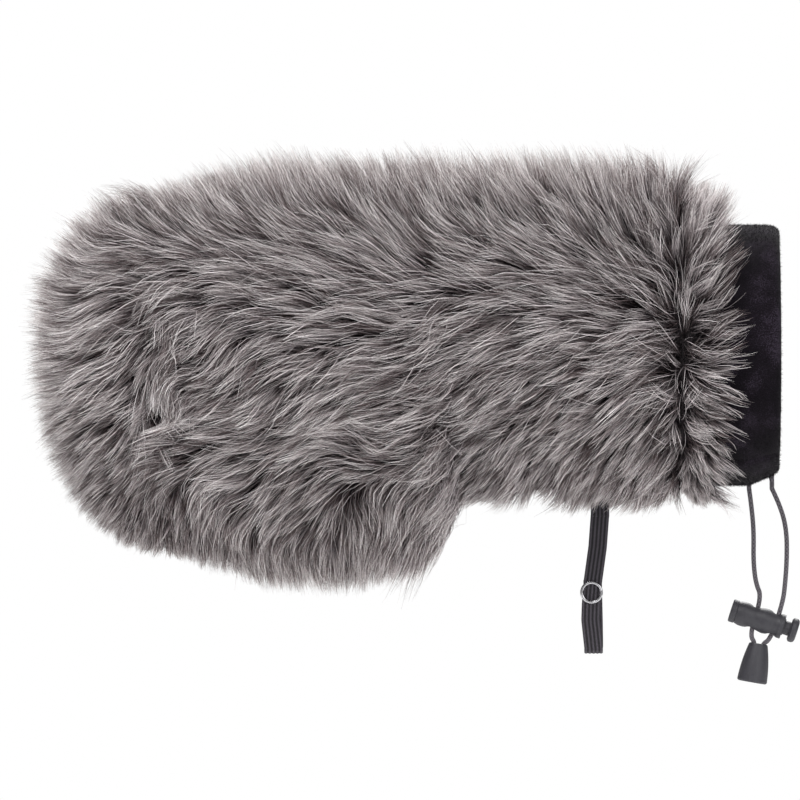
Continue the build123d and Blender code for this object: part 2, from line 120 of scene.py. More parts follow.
def new_mesh_piece(name, points, faces, material):
    """A mesh object from points in metres and faces that list them."""
    mesh = bpy.data.meshes.new(name)
    mesh.from_pydata([tuple(point) for point in points], [], faces)
    mesh.shade_smooth()
    piece = bpy.data.objects.new(name, mesh)
    bpy.context.scene.collection.objects.link(piece)
    mesh.materials.append(material)
    return piece


# %% [markdown]
# ## Camera
# A windscreen is shown from its side, level and from far off, so that its two ends are seen at the
# same scale. A long lens does that: it flattens the round mouth of the collar to a straight edge.

# %% Camera
view_width = 336 * mm
view_distance = 6.0
view_centre = Vector((-150.8 * mm, 0, -18.9 * mm))

camera_data = bpy.data.cameras.new("camera")
camera_data.sensor_width = 36
camera_data.lens = camera_data.sensor_width * view_distance / view_width
camera_data.clip_end = 50
camera = bpy.data.objects.new("camera", camera_data)
camera.location = view_centre + Vector((0, -view_distance, 0))
camera.rotation_euler = (math.radians(90), 0, 0)
bpy.context.scene.collection.objects.link(camera)
bpy.context.scene.camera = camera
print("lens", round(camera_data.lens), "mm")

# %% [markdown]
# ## Drawcord
# The drawcord is a 2 mm round cord: an elastic core in a braided polyester sleeve. Its two ends come
# out of the hem, go through the cord lock and meet in a bell-shaped cord end, where a knot holds them.
# Each stretch is a smooth NURBS line through the route's points. A tube is then swept along points
# read from that line.

# %% Braided cord
braid_pitch = 1.6
braid_strands = 8

braided_cord, tree, shader = new_finish(
    "braided_polyester_cord", {"Roughness": 0.78, "Specular IOR Level": 0.3, "Sheen Weight": 0.25}
)
braid_map = add_node(tree, "ShaderNodeUVMap", {"uv_map": "braid"}, {})
carriers = []
for lean in (1, -1):
    skewed = add_node(
        tree, "ShaderNodeVectorMath", {"operation": "DOT_PRODUCT"}, {0: braid_map.outputs["UV"]}
    )
    skewed.inputs[1].default_value = (lean * math.tau * braid_strands / 2, math.tau / braid_pitch, 0)
    carriers.append(add_node(tree, "ShaderNodeMath", {"operation": "SINE"}, {0: skewed.outputs["Value"]}))
crossing = add_node(
    tree, "ShaderNodeMath", {"operation": "MAXIMUM"}, {0: carriers[0].outputs[0], 1: carriers[1].outputs[0]}
)
height = add_node(tree, "ShaderNodeMapRange", {"From Min": -1.0}, {"Value": crossing.outputs[0]})
bump = add_node(
    tree, "ShaderNodeBump", {"Strength": 0.6, "Distance": 0.15 * mm}, {"Height": height.outputs["Result"]}
)
# The braid's hollows are painted darker than its crowns: painted shade, read from the same height as the
# bump.
painted_hollow_shade = colour_bands(
    tree, height.outputs["Result"], [(0.0, "#252228"), (0.55, "#4b474c"), (1.0, "#666268")]
)
tree.links.new(painted_hollow_shade, shader.inputs["Base Color"])
tree.links.new(bump.outputs["Normal"], shader.inputs["Normal"])

# %% Cord lines and tubes
cord_radius = 1.0 * mm
tube_sides = 14


def line_points(name, route):
    """The points of the smooth NURBS line whose control points are the route's, given in mm."""
    curve = bpy.data.curves.new(name, "CURVE")
    curve.dimensions = "3D"
    curve.resolution_u = 10
    spline = curve.splines.new("NURBS")
    spline.points.add(len(route) - 1)
    for point, (x, z) in zip(spline.points, route):
        point.co = (x * mm, 0, z * mm, 1)
    spline.order_u = 3
    spline.use_endpoint_u = True
    holder = bpy.data.objects.new(name, curve)
    bpy.context.scene.collection.objects.link(holder)
    read = bpy.data.meshes.new_from_object(holder)
    points = [vertex.co.copy() for vertex in read.vertices]
    bpy.data.objects.remove(holder)
    return points


def swept_tube(name, centres, radius, material):
    """A closed round tube along centres that lie in the plane of the cover's middle."""
    points, faces, braid_places = [], [], []
    travelled = 0.0
    for index, centre in enumerate(centres):
        ahead = centres[min(index + 1, len(centres) - 1)] - centres[max(index - 1, 0)]
        across = Vector((0, 1, 0))
        outwards = ahead.normalized().cross(across)
        if index:
            travelled += (centre - centres[index - 1]).length
        for side in range(tube_sides):
            turn = math.tau * side / tube_sides
            points.append(centre + radius * (math.cos(turn) * across + math.sin(turn) * outwards))
    rings = len(centres)
    for ring in range(rings - 1):
        for side in range(tube_sides):
            following = (side + 1) % tube_sides
            low, high = ring * tube_sides, (ring + 1) * tube_sides
            faces.append((low + side, low + following, high + following, high + side))
            corners = ((side, ring), (side + 1, ring), (side + 1, ring + 1), (side, ring + 1))
            for corner_side, corner_ring in corners:
                along = travelled / mm * corner_ring / (rings - 1)
                braid_places.append((corner_side / tube_sides, along))
    faces.append(tuple(range(tube_sides))[::-1])
    faces.append(tuple((rings - 1) * tube_sides + side for side in range(tube_sides)))
    braid_places += [(0.0, 0.0)] * (2 * tube_sides)
    tube = new_mesh_piece(name, points, faces, material)
    layer = tube.data.uv_layers.new(name="braid")
    layer.data.foreach_set("uv", [value for place in braid_places for value in place])
    return tube, travelled


# %% The two strands and their tails
strand_routes = {
    "inner": [(-4.2, -56.1), (-3.1, -64.0), (-2.2, -74.5), (-2.4, -86.5), (-1.4, -95.8), (-0.138, -98.713)],
    "mouth": [(5.4, -56.1), (9.0, -63.5), (11.6, -73.6), (11.7, -85.8), (10.9, -96.8), (10.432, -100.334)],
}
tail_routes = {
    "inner": [
        (-0.138, -98.713), (1.124, -101.626), (-4.067, -117.604), (-1.306, -121.310), (-2.643, -128.893),
    ],
    "mouth": [
        (10.432, -100.334), (9.964, -103.867), (4.896, -119.465), (0.802, -121.681), (-0.536, -129.264),
    ],
}
for end in ("inner", "mouth"):
    line = line_points(f"strand_{end}_line", strand_routes[end])
    strand, strand_length = swept_tube(f"drawcord_strand_{end}_braid", line, cord_radius, braided_cord)
    tail_line = line_points(f"tail_{end}_line", tail_routes[end])
    tail, tail_length = swept_tube(f"drawcord_tail_{end}_braid", tail_line, cord_radius, braided_cord)
    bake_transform(strand)
    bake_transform(tail)
    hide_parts(f"drawcord_strand_{end}")
    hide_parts(f"drawcord_tail_{end}")
    print(end, "strand", round(strand_length / mm, 1), "mm, tail", round(tail_length / mm, 1), "mm")

# %% The cord's two ends, where they leave the hem
heights_in_hem = (6.0, 4.0, 2.0, 0.6, -0.4)
for end in ("inner", "mouth"):
    exit_x, exit_z = strand_routes[end][0]
    leg = [Vector((exit_x, 0, exit_z + height)) * mm for height in heights_in_hem]
    hem_end = swept_tube(f"drawcord_exit_{end}", leg, cord_radius, braided_cord)[0]
    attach(hem_end, "cover")

# %% [markdown]
# ## Fur cloth
# Fake fur is knitted: tufts of acrylic fibre are caught in a knitted backing, brushed to one side and
# sheared. On the finished cover every hair starts at a root in the backing, stands up from it, and
# bends over in the direction of the brushing, which a tailor calls the nap.
#
# Blender's own hair curves look good, but they don't leave Blender as a mesh. So each hair here is a
# narrow tapering ribbon of four short faces, grown by a few lines of arithmetic from the backing.
# A little light passes through it and comes out warmer, which shows where hairs stand against white.

# %% Fur finish: one colour for each tone and each place along a hair, with painted shade at the roots
hair_translucence = 0.10

acrylic_fur, tree, shader = new_finish(
    "brushed_acrylic_fur", {"Roughness": 0.34, "Specular IOR Level": 0.65, "IOR": 1.5}
)
hair_map = add_node(tree, "ShaderNodeUVMap", {"uv_map": "OFBake"}, {})
hair_places = add_node(tree, "ShaderNodeSeparateXYZ", {}, {"Vector": hair_map.outputs["UV"]})
# Both ramps run from near black at the root to pale at the tip; the dark roots are painted shade deep in
# the pile.
dark_hair_and_root_shade = colour_bands(
    tree, hair_places.outputs["Y"], [(0.0, "#050304"), (0.50, "#181114"), (1.0, "#6c5c5d")]
)
silver_hair_and_root_shade = colour_bands(
    tree, hair_places.outputs["Y"],
    [(0.0, "#1f181a"), (0.20, "#6a5e60"), (0.46, "#dcd2d4"), (1.0, "#fffcfb")],
)
hair_colour = add_node(tree, "ShaderNodeMix", {"data_type": "RGBA"}, {0: hair_places.outputs["X"]})
tree.links.new(dark_hair_and_root_shade, hair_colour.inputs[6])
tree.links.new(silver_hair_and_root_shade, hair_colour.inputs[7])
tree.links.new(hair_colour.outputs[2], shader.inputs["Base Color"])
let_through = colour_bands(
    tree, hair_places.outputs["Y"], [(0.0, "#080505"), (0.35, "#2a2020"), (1.0, "#e6cfc6")]
)
through = add_node(tree, "ShaderNodeBsdfTranslucent", {}, {"Color": let_through})
thin = add_node(
    tree, "ShaderNodeMixShader", {0: hair_translucence}, {1: shader.outputs[0], 2: through.outputs[0]}
)
tree.links.new(thin.outputs[0], tree.nodes["Material Output"].inputs["Surface"])

# %% [markdown]
# The nap is combed: each stroke of the comb has a place on the cover's side and a direction.
# 180 degrees lies towards the nose, 90 is up, 270 is down and 0 is towards the mouth. A hair follows
# the strokes nearest to it, and keeps following them as it grows, which gives the soft swirls of real
# fur. The nose cap, the body and the ruff are separate panels, so each has strokes of its own, and
# the hair parts where they are sewn together.

# %% Comb strokes: place along the cover, height (both in mm), direction (degrees)
comb_strokes = {
    "nose": [
        (-291, 49, 132), (-272, 62, 128), (-256, 70, 140), (-302, 15, 165), (-303, -10, 192),
        (-291, -36, 215), (-279, -67, 235), (-260, -84, 250), (-272, 21, 222), (-262, -17, 228),
        (-279, -17, 212), (-285, -36, 222), (-266, -55, 235), (-250, 2, 245), (-256, -17, 266),
        (-247, -30, 282), (-264, 40, 205),
    ],
    "body": [
        (-235, 77, 138), (-228, 78, 130), (-197, 80, 124), (-159, 80, 117), (-139, 82, 115),
        (-112, 82, 120), (-91, 82, 118), (-69, 79, 112), (-48, 79, 104), (-36, 73, 92),
        (-139, 63, 128), (-112, 63, 137), (-80, 63, 137), (-59, 57, 126), (-40, 52, 113),
        (-222, 34, 186), (-235, 20, 212), (-184, 40, 174), (-197, 21, 188), (-123, 46, 172),
        (-91, 46, 168), (-59, 41, 153), (-42, 30, 146), (-250, 2, 240), (-246, -20, 268),
        (-235, -11, 188), (-222, -5, 232), (-184, -17, 218), (-216, -42, 184), (-241, -37, 172),
        (-184, -52, 200), (-197, -61, 216), (-172, -42, 152), (-133, 20, 200), (-128, 9, 206),
        (-102, 25, 190), (-69, 25, 183), (-123, -13, 206), (-91, -2, 200), (-59, 3, 193),
        (-42, 3, 186), (-144, -23, 180), (-144, -45, 182), (-91, -23, 201), (-59, -23, 206),
        (-102, -50, 216), (-69, -50, 221), (-48, -50, 226), (-80, -63, 226), (-59, -64, 220),
        (-235, -90, 272), (-216, -92, 291), (-184, -96, 287), (-159, -92, 256), (-165, -67, 282),
        (-145, -84, 232), (-136, -74, 208), (-126, -62, 202), (-241, -67, 262),
    ],
    "ruff": [
        (-34, 73, 88), (-24, 65, 68), (-26, 46, 62), (-16, 41, 50), (-21, 25, 42), (-16, 3, 18),
        (-16, -7, -4), (-16, -18, -14), (-21, -39, -24), (-26, -50, -34), (-32, -56, -40),
    ],
}
stroke_softness = 7.0


def combed(points, strokes):
    """The direction of the nap at each point, as unit vectors in the plane of the cover's side."""
    places = np.array(strokes, float)
    headings = np.radians(places[:, 2])
    gaps = (points[:, 0, None] / mm - places[:, 0]) ** 2 + (points[:, 2, None] / mm - places[:, 1]) ** 2
    weights = 1 / (gaps + stroke_softness ** 2) ** 2
    flow = np.stack([weights @ np.cos(headings), np.zeros(len(points)), weights @ np.sin(headings)], axis=1)
    return flow / (np.linalg.norm(flow, axis=1, keepdims=True) + 1e-9)


# %% [markdown]
# Roots are spread over the outer face of each backing panel, in proportion to its area. The faces of
# the seams, of the grip slot and of the inside are left out, so nothing grows there.

# %% Roots on the backing
random = np.random.default_rng(11)
ruff_seam_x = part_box("ruff_backing")[0][0]
nose_seam_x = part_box("nose_backing")[1][0]
nose_core_x = nose_seam_x + 6 * mm
outward_share = 0.4


def mesh_faces(mesh):
    """Corners, areas, normals and middles of a mesh's triangles."""
    mesh.calc_loop_triangles()
    corners = np.empty(3 * len(mesh.loop_triangles), np.int32)
    mesh.loop_triangles.foreach_get("vertices", corners)
    places = np.empty(3 * len(mesh.vertices))
    mesh.vertices.foreach_get("co", places)
    triangles = places.reshape(-1, 3)[corners.reshape(-1, 3)]
    crosses = np.cross(triangles[:, 1] - triangles[:, 0], triangles[:, 2] - triangles[:, 0])
    areas = np.linalg.norm(crosses, axis=1) / 2
    normals = crosses / (2 * areas[:, None] + 1e-15)
    return triangles, areas, normals, triangles.mean(axis=1)


def outside_of(node):
    """Corners, areas and outward normals of the faces on the outside of a backing panel."""
    triangles, areas, normals, middles = mesh_faces(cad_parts[node].data)
    cores = np.zeros((len(middles), 3))
    cores[:, 0] = np.maximum(middles[:, 0], nose_core_x)
    outwards = middles - cores
    outwards /= np.linalg.norm(outwards, axis=1, keepdims=True)
    outside = (normals * outwards).sum(axis=1) > outward_share
    return triangles[outside], areas[outside], normals[outside]


def scatter(triangles, areas, normals, per_square_mm):
    """Random points on the given faces, with the normal at each."""
    count = int(areas.sum() / mm ** 2 * per_square_mm)
    chosen = random.choice(len(areas), count, p=areas / areas.sum())
    one, two = random.random((2, count, 1))
    folded = (one + two) > 1
    one, two = np.where(folded, 1 - one, one), np.where(folded, 1 - two, two)
    corner = triangles[chosen, 0]
    roots = corner + one * (triangles[chosen, 1] - corner) + two * (triangles[chosen, 2] - corner)
    return roots, normals[chosen]


# %% Pile height: how far the tips stand off the cloth, in mm
pile_over_top = 22.5
pile_beside = 16.0
pile_at_nose = 19.5
pile_under_belly = 18.0
pile_under_rear = 12.0
pile_over_shoulder = 15.5
pile_under_shoulder = 9.0
longest_hair = 32.0
ruff_hair = 19.0
ruff_hair_above = 12.5
ruff_hair_below = 3.5
low_nose_share = 0.30
step_x = -152 * mm
step_half_length = 12 * mm
flat_corner_x = -134 * mm
flat_corner_reach = 13 * mm
flat_corner = 5.5
flat_corner_share = 0.5
flat_below_z = -42 * mm
flat_fade = 16 * mm
shoulder_x = nose_core_x
full_front_x = shoulder_x + 32 * mm


def pile_height(roots, normals):
    """Tips' distance from the cloth in mm: long on top, combed flat under the rear."""
    rear = np.clip((roots[:, 0] - step_x + step_half_length) / (2 * step_half_length), 0, 1)
    full = np.clip((roots[:, 0] - shoulder_x) / (full_front_x - shoulder_x), 0, 1)
    above = pile_over_shoulder + full * (pile_over_top - pile_over_shoulder)
    below = pile_under_shoulder + full * (pile_under_belly - pile_under_shoulder)
    below += rear * (pile_under_rear - pile_under_belly)
    corner = np.exp(-((roots[:, 0] - flat_corner_x) / flat_corner_reach) ** 2)
    below -= flat_corner * corner
    upright = np.where(normals[:, 2] > 0, above, below)
    facing = normals ** 2
    height = facing[:, 0] * pile_at_nose + facing[:, 1] * pile_beside + facing[:, 2] * upright
    height *= 1 - flat_corner_share * corner * np.clip((flat_below_z - roots[:, 2]) / flat_fade, 0, 1)
    return height * (1 - low_nose_share * 2 * np.maximum(-normals[:, 0], 0) * np.maximum(-normals[:, 2], 0))


# %% [markdown]
# A hair leaves the cloth steeply and then lies over into the nap. Hairs also cling together: each one
# leans towards the middle of its lock, more and more towards the tips. A lock has its own small turn,
# lift, length and tone, which gives the dark gaps and pale streaks between locks.

# %% Growing the hairs
segments = 4
root_lift = 1.15
tip_lift = 0.30
root_comb = 0.55
root_depth = 0.6 * mm
least_rise = 0.25
lock_area = 9.0


def turned(flow, angles):
    """Directions in the plane of the cover's side, turned by angles in radians."""
    cosines, sines = np.cos(angles), np.sin(angles)
    x = cosines * flow[:, 0] - sines * flow[:, 2]
    z = sines * flow[:, 0] + cosines * flow[:, 2]
    return np.stack([x, flow[:, 1], z], axis=1)


def heading(points, normals, strokes, turns, lifts, share):
    """The direction of each hair at a share of its length."""
    flow = turned(combed(points, strokes), turns)
    lift = lifts * (root_lift + share * (tip_lift - root_lift))
    comb = root_comb + share * (1 - root_comb)
    direction = flow * comb + normals * lift[:, None]
    return direction / np.linalg.norm(direction, axis=1, keepdims=True)


def hair_lengths(panel, roots, normals, strokes, turns, lifts):
    """Lengths in mm that bring each tip to the pile's height."""
    if panel == "ruff":
        ends = np.where(normals[:, 2] > 0, ruff_hair_above, ruff_hair_below)
        return ruff_hair + normals[:, 2] ** 2 * (ends - ruff_hair)
    rise = np.zeros(len(roots))
    for share in (0.1, 0.5, 0.9):
        rise += (heading(roots, normals, strokes, turns, lifts, share) * normals).sum(axis=1) / 3
    return np.minimum(pile_height(roots, normals) / np.maximum(rise, least_rise), longest_hair)


def grow(roots, normals, strokes, turns, lifts, lengths):
    """The points of each hair from root to tip, with shape (hairs, segments + 1, 3)."""
    points = [roots - root_depth * normals]
    for step in range(segments):
        share = (step + 0.5) / segments
        direction = heading(points[-1], normals, strokes, turns, lifts, share)
        points.append(points[-1] + direction * (lengths * mm / segments)[:, None])
    return np.stack(points, axis=1)


# %% [markdown]
# Three kinds of fibre make the pile. A short, dense, dark underfur fills it. The main pile is taupe
# and gives it its body. A few longer silver hairs lie over them and catch the light. A real fibre is
# about 0.05 mm thick, and that is too fine to show here, so each ribbon stands for a few fibres that
# cling together. Locks and single hairs stray a little, so that no two lie quite alike.

# %% Kinds of hair: share, length share low and high, root width in mm, tone low and high
hair_kinds = {
    "underfur": (0.32, 0.42, 0.70, 0.46, 0.00, 0.14),
    "pile": (0.54, 0.70, 1.04, 0.34, 0.00, 0.32),
    "guard": (0.14, 0.86, 1.16, 0.42, 0.86, 1.00),
}
hairs_per_square_mm = 1.9
hairs_per_piece = 24000
tip_width_share = 0.12
wander = np.array([6.0, 8.0, 16.0])
# Painted light: the ruff's hairs are made paler, as its nap stands up into the light; the other panels get
# none.
painted_light_by_panel = {"nose": 0.0, "body": 0.0, "ruff": 0.13}
ruff_tangle = 50.0
nose_tangle = 22.0
seam_reach = 5 * mm
seam_lift = 0.7
# Painted shade: hairs beside the nose seam are made darker, where the nap parts.
nose_parting_painted_shade = 0.16
lock_turn_spread = 11
lock_lift_spread = 0.22
lock_length_spread = 0.08
lock_tone_spread = 0.30
hair_lift_spread = 0.14
seam_stray = 0.7
gather_middle = 0.60
gather_spread = 0.18
underfur_gather = 0.7
gather_power = 1.3
drift_degrees = 13
map_margin = 0.01
kind_rows = np.array([values[1:] for values in hair_kinds.values()])
kind_shares = np.array([values[0] for values in hair_kinds.values()])


def lock_values(count):
    """Each lock's turn, lift, length and tone."""
    return (
        np.radians(random.normal(0, lock_turn_spread, count)),
        np.clip(random.normal(1, lock_lift_spread, count), 0.5, 1.7),
        np.clip(random.normal(1, lock_length_spread, count), 0.8, 1.15),
        random.normal(0, lock_tone_spread, count),
    )


def nearness(roots, seam):
    """1 on a seam, falling to 0 a few millimetres from it."""
    return np.exp(-((roots[:, 0] - seam) / seam_reach) ** 2)


def seam_turn(roots):
    """How far, in radians, a hair beside a seam may stray: there the two naps meet and tangle."""
    tangle = ruff_tangle * nearness(roots, ruff_seam_x) + nose_tangle * nearness(roots, nose_seam_x)
    return np.radians(tangle)


def slow_turn(roots):
    """A slow drift of the nap across the cover, in radians, so that it doesn't look machine made."""
    x, y, z = (roots / mm).T
    one_way = np.sin(math.tau * (x / 47 + z / 61) + 1.3)
    other_way = np.sin(math.tau * (z / 43 - x / 71 + y / 90) + 0.5)
    return np.radians(drift_degrees) * (one_way * other_way)


def build_hair_pieces(panel, node, body_part):
    """Grows one panel's fur and makes its pieces."""
    strokes = comb_strokes[panel]
    roots, normals = scatter(*outside_of(node), hairs_per_square_mm)
    count = len(roots)
    lock_count = int(count / hairs_per_square_mm / lock_area)
    middles = random.choice(count, lock_count, replace=False)
    tree_of_locks = kdtree.KDTree(lock_count)
    for index, place in enumerate(roots[middles]):
        tree_of_locks.insert(place, index)
    tree_of_locks.balance()
    lock = np.array([tree_of_locks.find(place)[1] for place in roots])

    turns, lifts, stretches, tones = lock_values(lock_count)
    lock_roots, lock_normals = roots[middles], normals[middles]
    lock_turns = turns + slow_turn(lock_roots) + random.normal(0, 1, lock_count) * seam_turn(lock_roots)
    lengths = stretches * hair_lengths(panel, lock_roots, lock_normals, strokes, lock_turns, lifts)
    lock_lines = grow(lock_roots, lock_normals, strokes, lock_turns, lifts, lengths)

    kind = random.choice(len(kind_rows), count, p=kind_shares)
    low, high, width, tone_low, tone_high = kind_rows[kind].T
    hair_turns = lock_turns[lock] + np.radians(random.normal(0, 1, count) * wander[kind])
    hair_turns += random.normal(0, seam_stray, count) * seam_turn(roots)
    hair_lifts = np.clip(lifts[lock] + random.normal(0, hair_lift_spread, count), 0.4, 1.8)
    hair_lifts += seam_lift * nearness(roots, ruff_seam_x)
    hair_stretch = (low + (high - low) * random.random(count)) * stretches[lock]
    hair_length = hair_stretch * hair_lengths(panel, roots, normals, strokes, hair_turns, hair_lifts)
    lines = grow(roots, normals, strokes, hair_turns, hair_lifts, hair_length)

    gather = np.clip(random.normal(gather_middle, gather_spread, count), 0.05, 0.94)
    gather *= np.where(kind == 0, underfur_gather, 1.0)
    share = np.linspace(0, 1, segments + 1)
    reach = hair_stretch[:, None] * share / stretches[lock][:, None]
    place_on_lock = np.clip(reach, 0, 1) * segments
    below = np.minimum(place_on_lock.astype(int), segments - 1)
    rows = lock[:, None]
    between = (place_on_lock - below)[..., None]
    lock_points = lock_lines[rows, below] * (1 - between) + lock_lines[rows, below + 1] * between
    lines += (lock_points - lines) * (gather[:, None] * share ** gather_power)[..., None]

    along = np.gradient(lines, axis=1)
    along /= np.linalg.norm(along, axis=2, keepdims=True)
    facing = random.normal(0, 1, (count, 1, 3))
    across = np.cross(along, facing)
    across /= np.linalg.norm(across, axis=2, keepdims=True)
    taper = 1 - share * (1 - tip_width_share)
    half = across * (width[:, None] * mm / 2 * taper)[..., None]
    ribbons = np.stack([lines - half, lines + half], axis=2)
    # A hair's tone comes from its kind and its lock, plus painted light on the ruff; painted shade then
    # darkens it along the nose seam.
    tone = tone_low + (tone_high - tone_low) * random.random(count) + tones[lock] + painted_light_by_panel[panel]
    tone = np.clip(tone - nose_parting_painted_shade * nearness(roots, nose_seam_x), map_margin, 1 - map_margin)

    order = np.argsort(roots[:, 0])
    for start in range(0, count, hairs_per_piece):
        part = order[start:start + hairs_per_piece]
        name = f"{body_part}_hair_{start // hairs_per_piece + 1}"
        hair_piece(name, ribbons[part], tone[part])
    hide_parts(f"{body_part}_fur")


def hair_piece(name, ribbons, tone):
    """One mesh of tapering ribbons, with each hair's tone and place along it in its map."""
    count = len(ribbons)
    ring = np.arange(segments)[:, None] * 2
    quad = (ring + np.array([0, 1, 3, 2])).reshape(-1)
    per_hair = 2 * (segments + 1)
    corners = (np.arange(count)[:, None] * per_hair + quad).reshape(-1).astype(np.int32)
    mesh = bpy.data.meshes.new(name)
    mesh.vertices.add(count * per_hair)
    mesh.vertices.foreach_set("co", ribbons.reshape(-1).astype(np.float32))
    mesh.loops.add(len(corners))
    mesh.loops.foreach_set("vertex_index", corners)
    mesh.polygons.add(count * segments)
    mesh.polygons.foreach_set("loop_start", np.arange(0, len(corners), 4, dtype=np.int32))
    mesh.update(calc_edges=True)
    mesh.shade_smooth()
    steps = (quad // 2) / segments
    places = np.empty((count, len(quad), 2), np.float32)
    places[..., 0] = tone[:, None]
    places[..., 1] = steps * (1 - 2 * map_margin) + map_margin
    mesh.uv_layers.new(name="OFBake").data.foreach_set("uv", places.reshape(-1))
    mesh.materials.append(acrylic_fur)
    piece = bpy.data.objects.new(name, mesh)
    bpy.context.scene.collection.objects.link(piece)
    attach(piece, "cover")
    return piece


# %% Fur on the four panels
build_hair_pieces("nose", "nose_backing", "nose")
build_hair_pieces("body", "left_backing", "left")
build_hair_pieces("body", "right_backing", "right")
build_hair_pieces("ruff", "ruff_backing", "ruff")

# %% [markdown]
# ## Cloth under the hair, and the tapes inside
# The knitted backing shows only as darkness between the hairs and on the inside. Woven tapes cover
# the seams. Both are drawn with fine ridges: courses of knitting 1.2 mm apart, and ribs of weave,
# with painted shade in the hollows between them.

# %% Knit, tape and thread
wave_period = math.tau / 20


def ribbed(tree, shader, direction, spacing, depth, dark, pale):
    """Ridges of a knit or weave, spacing apart and depth high, with painted shade darkening the hollow
    between them.
    """
    place = add_node(tree, "ShaderNodeTexCoord", {}, {})
    ridges = add_node(
        tree, "ShaderNodeTexWave",
        {"bands_direction": direction, "Scale": wave_period / spacing, "Distortion": 1.2, "Detail": 2.0},
        {"Vector": place.outputs["Object"]},
    )
    bump = add_node(tree, "ShaderNodeBump", {"Distance": depth}, {"Height": ridges.outputs["Fac"]})
    painted_hollow_shade = colour_bands(tree, ridges.outputs["Fac"], [(0.0, dark), (1.0, pale)])
    tree.links.new(painted_hollow_shade, shader.inputs["Base Color"])
    tree.links.new(bump.outputs["Normal"], shader.inputs["Normal"])


def dress(nodes, material):
    """Gives a finish to parts of the engineering model."""
    for node in nodes:
        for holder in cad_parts[node].material_slots:
            holder.material = material


knitted_backing, tree, shader = new_finish("knitted_polyester_backing", {"Roughness": 0.95})
ribbed(tree, shader, "X", 1.2 * mm, 0.25 * mm, "#171315", "#2e272a")
woven_tape, tree, shader = new_finish("woven_polyester_tape", {"Roughness": 0.85})
ribbed(tree, shader, "DIAGONAL", 0.9 * mm, 0.15 * mm, "#151316", "#2b282d")
sewing_thread, tree, shader = new_finish("polyester_sewing_thread", {"Roughness": 0.6})
ribbed(tree, shader, "DIAGONAL", 0.4 * mm, 0.1 * mm, "#121014", "#242126")
dress(["nose_backing", "left_backing", "right_backing", "ruff_backing"], knitted_backing)
dress(
    ["nose_seam_tape", "spine_seam_tape", "belly_seam_tape", "ruff_seam_tape", "collar_seam_tape",
     "grip_slot_binding"],
    woven_tape,
)
dress(["hem_stitching", "strap_tack"], sewing_thread)
dress(["drawcord_in_hem", "cord_knot"], braided_cord)

# %% [markdown]
# ## Velour collar
# The collar is a strip of velour: a knit with a short, dense pile that drinks in light. Its mouth is
# turned in to make the channel for the drawcord, so the edge is a soft roll. The strip's two ends
# overlap low on the left side. The drawcord pulls the lower edge of the mouth up a little.
# The collar is turned like a pot, from one outline, and then its radius is nudged point by point.

# %% Collar shape
collar_low, collar_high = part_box("collar_shell")
seam_x, mouth_x = collar_low[0] / mm, collar_high[0] / mm
collar_radius = collar_high[2] / mm
bore_radius = 49.3
velour_thickness = 1.4
sheet_radius = collar_radius - velour_thickness
hem_end_x = -8.0
collar_sides = 240
lap_start_degrees, lap_half_degrees = 34.5, 10
lap_middle = math.radians(lap_start_degrees - lap_half_degrees)
lap_half_width = math.radians(lap_half_degrees)
lap_rise = 0.7
stitch_sink = 0.35
mouth_lift = 4.6

collar_outline = [(seam_x + step * (4.6 - seam_x) / 10, collar_radius) for step in range(11)]
collar_outline += [(6.3, collar_radius - 0.45), (7.4, collar_radius - 1.3), (mouth_x, collar_radius - 2.6)]
collar_outline += [(7.5, bore_radius + 1.2), (6.4, bore_radius + 0.4), (4.8, bore_radius)]
collar_outline += [(0.0, bore_radius), (-4.0, bore_radius)]
collar_outline += [(hem_end_x, bore_radius), (hem_end_x, sheet_radius)]
collar_outline += [(-14.0, sheet_radius), (seam_x, sheet_radius)]


def soft_step(value):
    """0 below 0, 1 above 1, and a smooth rise between them."""
    value = min(1.0, max(0.0, value))
    return value * value * (3 - 2 * value)


def collar_point(x, radius, turn):
    """A point of the collar. turn is the angle from straight down, towards the left side."""
    outer = soft_step((radius - sheet_radius) / velour_thickness)
    from_lap = abs(turn - lap_middle) / lap_half_width
    lap = lap_rise * soft_step((1.08 - from_lap) * 8) * outer
    stitched = -stitch_sink * math.exp(-(((turn - lap_middle) / lap_half_width - 1.16) * 14) ** 2) * outer
    slack = 0.28 * math.sin(3 * turn + 0.6) + 0.16 * math.sin(7 * turn + x / 5)
    grown = radius + lap + stitched + slack * soft_step((x - seam_x) / 12)
    near_mouth, low = soft_step((x + 7) / 15), max(0.0, math.cos(turn)) ** 3
    lifted = mouth_lift * near_mouth * low
    return Vector((x, -grown * math.sin(turn), -grown * math.cos(turn) + lifted)) * mm


collar_points, collar_faces = [], []
rows = len(collar_outline)
for side in range(collar_sides):
    turn = math.tau * side / collar_sides
    turn = turn - math.tau if turn > math.pi else turn
    collar_points += [collar_point(x, radius, turn) for x, radius in collar_outline]
    following = (side + 1) % collar_sides
    for row in range(rows):
        beside = (row + 1) % rows
        collar_faces.append(
            (side * rows + row, side * rows + beside, following * rows + beside, following * rows + row)
        )

